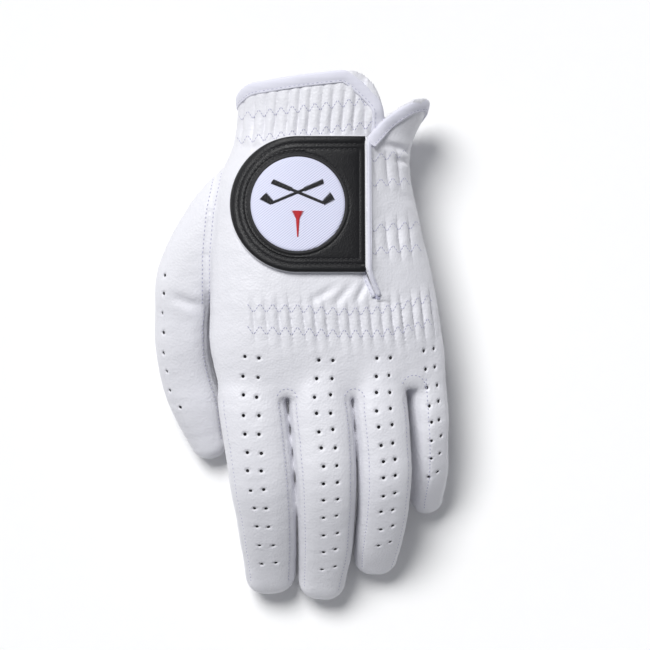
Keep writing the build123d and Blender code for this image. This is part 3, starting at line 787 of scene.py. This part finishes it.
HOLE_RADIUS, HOLE_DIP = 0.76, 0.06


def punch(bm):
    """Opens each perforation as a small round hole through the leather."""
    skin = BVHTree.FromBMesh(bm)
    verts = [v for v in bm.verts if not v.is_boundary]
    tree = tree_of([v.co for v in verts])
    gone, used = [], set()
    for points, count in HOLE_ROWS:
        for x, y in spread(points, count):
            place, normal, _, _ = skin.ray_cast(put(x, y, ABOVE), -UP)
            if place is None or normal.z < 0.05:
                continue
            vert = verts[tree.find(place)[1]]
            ring = {v for f in vert.link_faces for v in f.verts} - {vert}
            if ring & used or vert in used or any(v.is_boundary for v in ring):
                continue
            used |= ring | {vert}
            centre, normal = vert.co.copy(), vert.normal.copy()
            for near in ring:
                out = near.co - centre
                out -= normal * out.dot(normal)
                near.co = centre + out.normalized() * (HOLE_RADIUS * MM) - normal * (HOLE_DIP * MM)
            gone.append(vert)
    bmesh.ops.delete(bm, geom=gone, context="VERTS")
    bm.normal_update()


# ------------ the skin's pieces
def thickened(bm):
    """The leather with its thickness and its suede inside, as one object."""
    obj = finish_mesh(bm, "whole_skin", [FINISHES["white_leather"], FINISHES["suede"]])
    wall = obj.modifiers.new("thickness", "SOLIDIFY")
    wall.thickness = LEATHER_THICK * MM
    wall.offset = -1.0
    wall.material_offset = 1
    wall.material_offset_rim = 0
    return settled(obj)


def digit_of(p):
    """The digit whose skin a pattern point belongs to, or the hand."""
    if p.x < -37.0 + max(0.0, (-p.y - 5.0)) * 0.17 and -58.0 < p.y < ROOT_LINE["thumb"] and p.z < 37.0:
        if p.z < 36.0 - max(0.0, -p.y) * 0.28:
            return "thumb"
    if p.x > 46.6 and p.y < ROOT_LINE["little_finger"]:
        return "little_finger"
    if p.y < ROOT_LINE["index_finger"]:
        names = ["index_finger", "middle_finger", "ring_finger", "little_finger"]
        gaps = []
        for name in names:
            stations = sorted((s[1], s[0]) for s in DIGITS[name][1])
            gaps.append(abs(p.x - np.interp(p.y, *zip(*stations))) / DIGITS[name][1][3][3])
        return names[int(np.argmin(gaps))]
    return "hand"


def skin_of(p):
    """The digit that a point belongs to, or the hand's back or palm."""
    digit = digit_of(p)
    if digit != "hand":
        return digit
    rows = np.array(HAND)
    middle = float(np.interp(p.y, rows[:, 0], (rows[:, 3] + rows[:, 4]) / 2))
    return "back" if p.z > middle else "palm"


def split_skin(whole):
    """The back, the palm and one piece for each digit, shaded as one surface."""
    mesh = whole.data
    normals = [Vector(n.vector) for n in mesh.vertex_normals]
    owner = [skin_of(pattern(f.center)) for f in mesh.polygons]
    pieces = {}
    for part in ["back", "palm", *DIGITS]:
        bm = bmesh.new()
        bm.from_mesh(mesh)
        bm.faces.ensure_lookup_table()
        source = bm.verts.layers.int.new("source")
        for i, vert in enumerate(bm.verts):
            vert[source] = i
        bmesh.ops.delete(bm, geom=[f for f, o in zip(bm.faces, owner) if o != part], context="FACES")
        numbers = [v[source] for v in bm.verts]
        bm.verts.layers.int.remove(source)
        obj = finish_mesh(bm, part + "_skin", [FINISHES["white_leather"], FINISHES["suede"]])
        obj.data.normals_split_custom_set_from_vertices([normals[i] for i in numbers])
        pieces[part] = obj
    bpy.data.objects.remove(whole)
    return pieces


def bend_ends(digit):
    """Where a digit's skin would start and stop bending."""
    root = ROOT_LINE[digit]
    stations = sorted((s[1], s[0], s[2]) for s in DIGITS[digit][1])
    ends = []
    for y in (root, root - SLEEVE):
        ys, xs, zs = zip(*stations)
        ends.append(put(float(np.interp(y, ys, xs)), y, float(np.interp(y, ys, zs))))
    ends[1].z = ends[0].z
    return ends


def bend_with(obj, digit):
    """Works out where the digit's bend would start and stop, and bakes the piece's transform; nothing bends
    it.
    """
    start, end = bend_ends(digit)
    tuple(start)
    tuple(end)
    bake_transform(obj)


# ------------ stitches
class Stitches:
    """Many short threads in one piece."""

    def __init__(self, name, finish):
        self.name, self.finish, self.bm = name, finish, bmesh.new()

    def add(self, a, b, normal, width=0.55, sink=0.06):
        """One stitch from a to b, in metres, half sunk in the leather."""
        way = b - a
        side = normal.cross(way).normalized()
        up = way.cross(side).normalized()
        if up.dot(normal) < 0:
            up.negate()
        middle = (a + b) / 2 - up * (sink * MM)
        turn = Matrix((side, up, way.normalized())).transposed().to_4x4()
        size = Matrix.Diagonal((width / 2 * MM, width / 2 * MM, way.length / 2, 1.0))
        bmesh.ops.create_uvsphere(self.bm, u_segments=6, v_segments=4, radius=1.0,
                                  matrix=Matrix.Translation(middle) @ turn @ size)

    def along(self, skin, points, pitch, length, width=0.55, down=True):
        """Running stitches beside the points, which lie on or over the skin."""
        line = [skin.drop(p) if down else skin.near(p) for p in points]
        line = [hit for hit in line if hit]
        carried, last = 0.0, None
        for (a, na), (b, nb) in zip(line, line[1:]):
            span = (b - a).length
            if span < 1e-7 or span > 8 * MM:
                continue
            at = (pitch * MM) - carried
            while at < span:
                here = a.lerp(b, at / span)
                way = (b - a).normalized() * (length * MM / 2)
                self.add(here - way, here + way, na, width)
                at += pitch * MM
            carried = span - (at - pitch * MM)

    def done(self, body=None, digit=None):
        """The stitches as one piece that moves with a body; for a digit its transform is only baked, with
        no body and no bend.
        """
        bmesh.ops.recalc_face_normals(self.bm, faces=self.bm.faces)
        obj = finish_mesh(self.bm, self.name, [FINISHES[self.finish]])
        SLOTS.get(self.finish, self.finish)
        if digit:
            bend_with(obj, digit)
        else:
            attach(obj, body)
        return obj


class Surface:
    """The leather's outer face, to lay things on."""

    def __init__(self, bm):
        self.tree = BVHTree.FromBMesh(bm)

    def drop(self, p):
        """Straight down onto the back from a pattern point."""
        hit = self.tree.ray_cast(put(p[0], p[1], ABOVE), -UP)
        return (hit[0], hit[1]) if hit[0] is not None else None

    def near(self, p):
        """The closest place on the skin to a pattern point."""
        hit = self.tree.find_nearest(put(*p))
        return (hit[0], hit[1]) if hit[0] is not None else None


def zigzag(stitches, skin, corners):
    """Two or three short stitches on each leg of a zigzag."""
    for a, b in zip(corners, corners[1:]):
        hits = [skin.drop((a[0] + (b[0] - a[0]) * t, a[1] + (b[1] - a[1]) * t))
                for t in (0.06, 0.34, 0.38, 0.64, 0.68, 0.94)]
        for first, second in zip(hits[::2], hits[1::2]):
            if first and second and first[1].z > 0.12 and (first[0] - second[0]).length < 4 * MM:
                stitches.add(first[0], second[0], first[1], 0.5)


def sew(skin):
    """All the seams' stitches: the hand's move with the root body, and each digit's are a piece of their
    own.
    """
    hand = Stitches("hand_stitches", "lavender_thread")
    for band, swing in ((KNUCKLES, 1.9), (CUFF, 1.8), (LITTLE_UPPER, 1.8), (LITTLE_MIDDLE, 1.8)):
        for corners in band.rows(swing):
            zigzag(hand, skin, corners)
    for shift in (-1.5, 1.5):
        hand.along(skin, [(x + shift, y) for x, y in spread(SIDE_SEAM, 60)], 1.8, 1.1)
    fingers = list(DIGITS)[:4]
    for near, far in zip(fingers, fingers[1:]):
        a, b = seam_line(near, 1, inset=2.6)[0], seam_line(far, -1, inset=2.6)[0]
        middle, half = (a + b) / 2, (b.x - a.x) / 2
        arc = [Vector((middle.x - half * math.cos(math.pi * i / 16),
                       middle.y + half * math.sin(math.pi * i / 16), middle.z)) for i in range(17)]
        hand.along(skin, arc, 1.75, 1.0)
    hand.done(body="root")
    for digit in DIGITS:
        rows = Stitches(digit + "_stitches", "lavender_thread")
        for side in (-1, 1):
            if (digit, side) in (("little_finger", 1), ("thumb", -1)):
                continue
            for palm in (False, True):
                line = seam_line(digit, side, palm, inset=2.6)
                rows.along(skin, line, 1.75, 1.0, down=False)
        rows.done(digit=digit)


# ------------ closure tab
TAB_CENTRE = (-0.6, 55.0)
TAB_RADIUS = 28.0
TAB_EDGE_X = 27.2
BADGE_RADIUS = 19.2
AROUND = 256


def turns_round(count=AROUND):
    """Evenly spaced angles round a circle."""
    return [2 * math.pi * (i + 0.5) / count for i in range(count)]


def d_ring(inset, right_inset=None):
    """The D outline, moved in: a half round towards the thumb, straight at the sewn edge."""
    radius = TAB_RADIUS - inset
    right = TAB_EDGE_X - TAB_CENTRE[0] - (inset if right_inset is None else right_inset)
    corner = math.atan2(radius, right)
    points = []
    for turn in turns_round():
        angle = (turn + math.pi) % (2 * math.pi) - math.pi
        if abs(abs(angle) - corner) < math.pi / AROUND:
            angle = math.copysign(corner, angle)
        c, s = math.cos(angle), math.sin(angle)
        reach = radius if c < 0 else min(right / c if c > 1e-9 else 1e9, radius / max(abs(s), 1e-9))
        points.append((TAB_CENTRE[0] + reach * c, TAB_CENTRE[1] + reach * s))
    return points


def badge_ring(radius, count=AROUND):
    """A circle about the badge's middle."""
    return [(TAB_CENTRE[0] + radius * math.cos(t), TAB_CENTRE[1] + radius * math.sin(t))
            for t in turns_round(count)]


def mixed(a, b, share):
    """A ring part of the way from one ring to another."""
    return [(p[0] + (q[0] - p[0]) * share, p[1] + (q[1] - p[1]) * share) for p, q in zip(a, b)]


def laid(form, ring, height):
    """A ring of pattern points, laid on the smooth form at a height above it."""
    return [form.drop(p)[0] + UP * (height * MM) for p in ring]


def laid_shell(form, rows):
    """A closed layer over the form, its rings running from below its middle to above it."""
    middle = [TAB_CENTRE] * AROUND
    (first, low), (last, high) = rows[0], rows[-1]
    under = [(mixed(first, middle, share), low) for share in (0.97, 0.8, 0.6, 0.4, 0.2)]
    over = [(mixed(last, middle, share), high) for share in (0.2, 0.4, 0.6, 0.8, 0.97)]
    return loft_rings(bmesh.new(), [laid(form, ring, height) for ring, height in under + rows + over])


def rolled_pad(form, name, finish, inset, right, low, high, body, nodes):
    """A flat D pad with rounded edges."""
    soft = 0.25 * (high - low)
    rows = [(d_ring(inset + 6, right + 6), low), (d_ring(inset + 0.3, right + 0.3), low),
            (d_ring(inset, right), low + soft), (d_ring(inset, right), high - soft),
            (d_ring(inset + 0.3, right + 0.3), high)]
    rows += [(d_ring(inset + step, right + step), high + 0.04) for step in (1.5, 3.5, 6.0, 9.0, 13.0)]
    closed_piece(laid_shell(form, rows), name, finish, body, nodes)


EDGE_ROWS = [(3.0, 2.45), (0.7, 2.42), (0.15, 2.6), (0.0, 2.95), (0.2, 3.3), (0.7, 3.6), (1.5, 3.74),
             (2.4, 3.66), (2.9, 3.46), (3.2, 3.32), (3.5, 3.46), (4.1, 3.6), (4.7, 3.56), (5.1, 3.42),
             (5.35, 3.34), (5.6, 3.42), (6.2, 3.52)]
BORDER_MIDDLE, BORDER_HALF, BORDER_FOOT = 0.95, 0.85, 3.5
BORDER_RIBS, BORDER_RIB = 560, 0.05
BADGE_ROWS = [(2.6, 3.52), (2.2, 3.42), (1.95, 3.34), (1.7, 3.42), (1.2, 3.5), (0.4, 3.4), (-1.5, 3.34)]


def closure(form):
    """The closure: loop pad on the back, and the tab with its hook pad, lining and badge."""
    rolled_pad(form, "loop_pad", "loop", 5.5, 5.8, 0.1, 1.0, "root", ["loop_pad"])
    rolled_pad(form, "tab_hook_pad", "hook", 6.5, 5.0, 1.3, 1.95, "closure_tab", ["tab_hook_pad"])
    rolled_pad(form, "tab_lining", "white_leather", -0.35, 0.3, 1.95, 2.42, "closure_tab", ["tab_lining"])
    rows = [(d_ring(inset, min(inset, 0.2) if inset < 3 else inset - 2.8), h) for inset, h in EDGE_ROWS]
    outer, circle = rows[-1][0], badge_ring(BADGE_RADIUS + 2.8)
    rows += [(mixed(outer, circle, share), 3.54) for share in (0.3, 0.6, 0.85)]
    rows += [(badge_ring(BADGE_RADIUS + out), h) for out, h in BADGE_ROWS]
    tab = closed_piece(laid_shell(form, rows), "tab_leather", "black_leather", "closure_tab",
                       ["tab_leather"])

    thread_rows = Stitches("tab_stitches", "black_thread")
    top = Surface(bmesh_of(tab))
    for inset in (3.2, 5.35):
        ring = [p for p in d_ring(inset, 0.6) if p[0] < TAB_EDGE_X - 1.4]
        thread_rows.along(top, ring, 2.1, 1.6, 0.85)
    circle = badge_ring(BADGE_RADIUS + 1.95)
    thread_rows.along(top, circle + circle[:2], 1.9, 1.45, 0.75)
    thread_rows.done(body="closure_tab")

    disc = [(badge_ring(BADGE_RADIUS + 0.6), 3.4), (badge_ring(BADGE_RADIUS + 0.6), 3.9)]
    disc += [(badge_ring(BADGE_RADIUS * share), 4.02) for share in (0.96, 0.85, 0.7, 0.5, 0.3, 0.12)]
    closed_piece(laid_shell(form, disc), "badge_disc", "twill", "closure_tab", ["badge_disc"])
    badge_border(form)
    motif(form)


def badge_border(form):
    """The satin-stitched ring round the badge: a half-round bead of many small ribs."""
    ribs = [BORDER_RIB * (-1) ** k for k in range(BORDER_RIBS)]
    rows = []
    for i in range(9):
        turn = math.pi * (i / 8)
        out = BADGE_RADIUS + BORDER_MIDDLE - BORDER_HALF * math.cos(turn)
        ring = [(TAB_CENTRE[0] + (out + rib) * math.cos(t), TAB_CENTRE[1] + (out + rib) * math.sin(t))
                for rib, t in zip(ribs, turns_round(BORDER_RIBS))]
        rows.append([v + UP * ((BORDER_HALF + rib) * math.sin(turn) * MM)
                     for rib, v in zip(ribs, laid(form, ring, BORDER_FOOT))])
    bm = bmesh.new()
    loft_rings(bm, rows, caps=False)
    bmesh.ops.bridge_loops(bm, edges=[e for e in bm.edges if e.is_boundary])
    closed_piece(bm, "badge_border", "black_thread", "closure_tab", ["badge_border"])


SEWN_LEFT, SEWN_WIDTH, SEWN_START, SEWN_LENGTH, SEWN_HEIGHT = 26.9, 4.2, 28.6, 52.6, 2.7
FOLD_LEFT, FOLD_START, FOLD_LENGTH, FOLD_HEIGHT, FOLD_RINGS = 27.75, 27.2, 55.4, 3.55, 56
FOLD_HALF = (0.85, 0.5)
STRIP_THICK, ELASTIC_DEPTH, ELASTIC_WAVE, ELASTIC_ROWS = 0.5, 2.5, 0.12, 12


def sewn_side(form):
    """The tab's black edge under the flap, and the flap's folded edge along it."""
    bm = bmesh.new()
    bmesh.ops.create_grid(bm, x_segments=8, y_segments=44, size=0.5)
    for vert in bm.verts:
        x = SEWN_LEFT + SEWN_WIDTH * (vert.co.x + 0.5)
        y = SEWN_START + SEWN_LENGTH * (vert.co.y + 0.5)
        hit, _ = form.drop((x, y))
        vert.co = hit + UP * ((SEWN_HEIGHT - 0.5 * (x - SEWN_LEFT)) * MM)
    bmesh.ops.solidify(bm, geom=bm.faces, thickness=STRIP_THICK * MM)
    closed_piece(bm, "sewn_edge", "black_leather", "root", ["tab_sewn_edge"])
    rings = []
    for i in range(FOLD_RINGS + 1):
        share = i / FOLD_RINGS
        hit, _ = form.drop((FOLD_LEFT + 0.3 * (1 - share), FOLD_START + FOLD_LENGTH * share))
        swell = 1.0 if 1 < i < FOLD_RINGS - 1 else 0.55
        rings.append([hit + Vector((FOLD_HALF[0] * swell * math.cos(t), 0.0,
                                    FOLD_HEIGHT + FOLD_HALF[1] * swell * math.sin(t))) * MM
                      for t in turns_round(14)])
    closed_piece(loft_rings(bmesh.new(), rings), "flap_fold", "white_leather", "root", ["tab_edge_fold"])


def elastics(form):
    """Ribbed elastic inside the leather, behind each gathered band."""
    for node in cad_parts:
        if "elastic" not in node:
            continue
        low, high = (pattern(Vector(corner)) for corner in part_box(node))
        bm = bmesh.new()
        bmesh.ops.create_grid(bm, x_segments=int(high.x - low.x), y_segments=ELASTIC_ROWS, size=0.5)
        for vert in bm.verts:
            x = low.x + (high.x - low.x) * (vert.co.x + 0.5)
            y = low.y + (high.y - low.y) * (vert.co.y + 0.5)
            hit, normal = form.drop((x, y))
            wave = ELASTIC_WAVE * math.cos(math.pi * (vert.co.y + 0.5) * ELASTIC_ROWS)
            vert.co = hit - normal * ((ELASTIC_DEPTH + wave) * MM)
        bmesh.ops.solidify(bm, geom=bm.faces, thickness=STRIP_THICK * MM)
        closed_piece(bm, node + "_strip", "elastic", "root", [node])


SATIN_WIDTH, SATIN_STEP = 0.5, 0.36


def satin_stroke(stitches, form, a, b, start, end, lean=0.25, height=4.1):
    """A stroke of side-by-side stitches, its width changing from start to end."""
    a, b = Vector((*a, 0.0)), Vector((*b, 0.0))
    way = (b - a).normalized()
    across = Vector((-way.y, way.x, 0.0))
    count = max(int((b - a).length / SATIN_STEP), 2)
    for i in range(count + 1):
        t = i / count
        half = (start + (end - start) * t) / 2
        middle = a.lerp(b, t)
        ends = [middle + across * half * side + way * (lean * side) for side in (-1, 1)]
        points = [form.drop(end)[0] + UP * (height * MM) for end in ends]
        stitches.add(points[0], points[1], UP, SATIN_WIDTH, 0.0)


def motif(form):
    """Two crossed golf clubs and a tee, in satin stitch."""
    cx, cy = TAB_CENTRE
    clubs = Stitches("badge_clubs", "black_thread")
    for side in (-1, 1):
        foot, grip = (cx - side * 10.6, cy + 0.4), (cx + side * 10.4, cy + 9.2)
        bend = (foot[0] + side * 13.4, foot[1] + 5.6)
        satin_stroke(clubs, form, foot, bend, 1.3, 1.4)
        satin_stroke(clubs, form, bend, grip, 2.1, 2.5)
        satin_stroke(clubs, form, foot, (foot[0] - side * 3.6, foot[1] + 2.8), 2.4, 4.4)
    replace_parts(clubs.done(body="closure_tab"), "badge_clubs")
    tee = Stitches("badge_tee", "red_thread")
    satin_stroke(tee, form, (cx, cy - 13.4), (cx, cy - 6.0), 0.7, 1.9, 0.1)
    satin_stroke(tee, form, (cx, cy - 5.7), (cx, cy - 3.0), 2.4, 5.6, 0.1)
    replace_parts(tee.done(body="closure_tab"), "badge_tee")


# ------------ bindings
TAPE = [(1.0, 0.02), (1.0, 0.32), (0.86, 0.58), (0.78, 0.46), (0.7, 0.62), (0.35, 0.8), (0.08, 0.74),
        (-0.06, 0.35), (-0.1, -0.4), (-0.06, -1.1), (0.08, -1.4), (0.4, -1.42), (0.98, -1.38), (1.0, -1.05)]
CUFF_TAPE, SLIT_TAPE = 4.8, 1.7
CUFF_AROUND, CUFF_STEPS, CUFF_TURN = 20.0, 241, 1.26


def hand_at(y, angle):
    """A point of the hand's outline at a pattern y."""
    rows = np.array(HAND)
    row = [float(np.interp(y, rows[:, 0], rows[:, i])) for i in range(6)]
    return rounded(hand_section(row), angle, HAND_SQUARE)


def cuff_path(skin):
    """The cuff's edge: up the flap, round the little-finger side, the palm and the thumb side."""
    path = []
    for x, y in spread([(27.4, 82.1), (34.9, 90.2), (41.5, 95.0), (47.6, 98.2)], 24):
        path.append(skin.drop((x + 0.3, y - 0.5)))
    for i in range(CUFF_STEPS):
        angle = math.radians(CUFF_AROUND - i * CUFF_TURN)
        p = hand_at(97.0, angle)
        for _ in range(3):
            up = math.sin(angle)
            p = hand_at(cuff_line(p.x, up), angle)
        if p.x > 33.0 and i > 120:
            break
        path.append(skin.near((p.x, p.y - 0.3, p.z)))
    for x, y in spread([(33.0, 100.2), (34.2, 97.0), (35.2, 91.5), (35.0, 88.4)], 9):
        path.append(skin.drop((x - 0.35, y - 0.25)))
    last, normal = path[-1]
    path.append((last + Vector((-0.4, -3.6, -2.0)) * MM, normal))
    return path


def evened(path, step, rounds=5):
    """The path's points smoothed and evenly spaced, with their normals."""
    points = np.array([p for p, _ in path])
    normals = np.array([n for _, n in path])
    for _ in range(rounds):
        points[1:-1] = (points[:-2] + points[1:-1] * 2 + points[2:]) / 4
        normals[1:-1] = (normals[:-2] + normals[1:-1] * 2 + normals[2:]) / 4
    lengths = np.concatenate([[0], np.cumsum(np.linalg.norm(np.diff(points, axis=0), axis=1))])
    marks = np.linspace(0, lengths[-1], max(int(lengths[-1] / (step * MM)), 4))
    even = np.stack([np.interp(marks, lengths, points[:, i]) for i in range(3)], 1)
    turned = np.stack([np.interp(marks, lengths, normals[:, i]) for i in range(3)], 1)
    return even, turned


def taped(tape, path, width, inside):
    """Tape folded over an edge. inside gives the rough way into the leather."""
    points, normals = evened(path, 1.1)
    ways = np.gradient(points, axis=0)
    rings, seam = [], []
    for point, normal, way in zip(points, normals, ways):
        point, normal = Vector(point), Vector(normal).normalized()
        inward = normal.cross(Vector(way)).normalized()
        if inward.dot(inside) < 0:
            inward.negate()
        rings.append([point + inward * (a * width * MM) + normal * (out * MM) for a, out in TAPE])
        seam.append(pattern(rings[-1][3]))
    loft_rings(tape, rings)
    return seam


def bindings(skin):
    """Tape over the cuff's edge and, narrower, over both sides of the slit."""
    tape = bmesh.new()
    seams = [taped(tape, cuff_path(skin), CUFF_TAPE, Vector((0, -1, 0)))]
    cuff = closed_piece(tape, "cuff_tape", "binding", "root", ["cuff_binding"])
    tape = bmesh.new()
    for side in (-1, 1):
        path = [skin.drop((x + 0.5 * side, y - 0.4)) for x, y in spread(SLIT[1:], 60)]
        seams.append(taped(tape, path, SLIT_TAPE, Vector((side, 0, 0))))
    slit = closed_piece(tape, "slit_tape", "binding", "root", ["slit_binding"])
    rows = Stitches("binding_stitches", "lavender_thread")
    both = bmesh_of(cuff)
    both.from_mesh(slit.data)
    outside = Surface(both)
    below_tab = [[p for p in seam if p[1] < TAB_CENTRE[1] - 29.0] for seam in seams[1:]]
    for seam in seams[:1] + below_tab:
        rows.along(outside, seam, 1.9, 1.25, 0.45, down=False)
    rows.done(body="root")


def slit_end(skin):
    """The bar of thread at the slit's end."""
    bar = Stitches("slit_end_loop", "lavender_thread")
    for i in range(9):
        t = i / 8
        a, b = skin.drop((30.6 + 2.6 * t, 18.3 - 0.6 * t)), skin.drop((30.4 + 2.6 * t, 15.9 - 0.6 * t))
        bar.add(a[0], b[0], UP, SATIN_WIDTH, 0.0)
    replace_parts(bar.done(body="root"), "slit_end_bar")


# ------------ build
camera()
studio()
floor()
bm = worn_form()
form = Surface(bm)
shape_leather(bm)
open_wrist(bm)
open_slit(bm)
skin = Surface(bm)
bindings(skin)
punch(bm)
pieces = split_skin(thickened(bm))
sewn_on(pieces["back"], "white_leather", "root", ["back_panel", "little_side_strip", "finger_webs"])
sewn_on(pieces["palm"], "white_leather", "root", ["palm_panel", "thumb_side_strip", "thumb_gusset"])
hand_nodes = ("thumb_side_strip", "thumb_gusset")
for digit in DIGITS:
    bend_with(pieces[digit], digit)
    nodes = [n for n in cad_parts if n.startswith(digit + "_") and n not in hand_nodes]
    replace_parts(pieces[digit], *nodes)
sew(skin)
closure(form)
sewn_side(form)
elastics(form)
slit_end(skin)
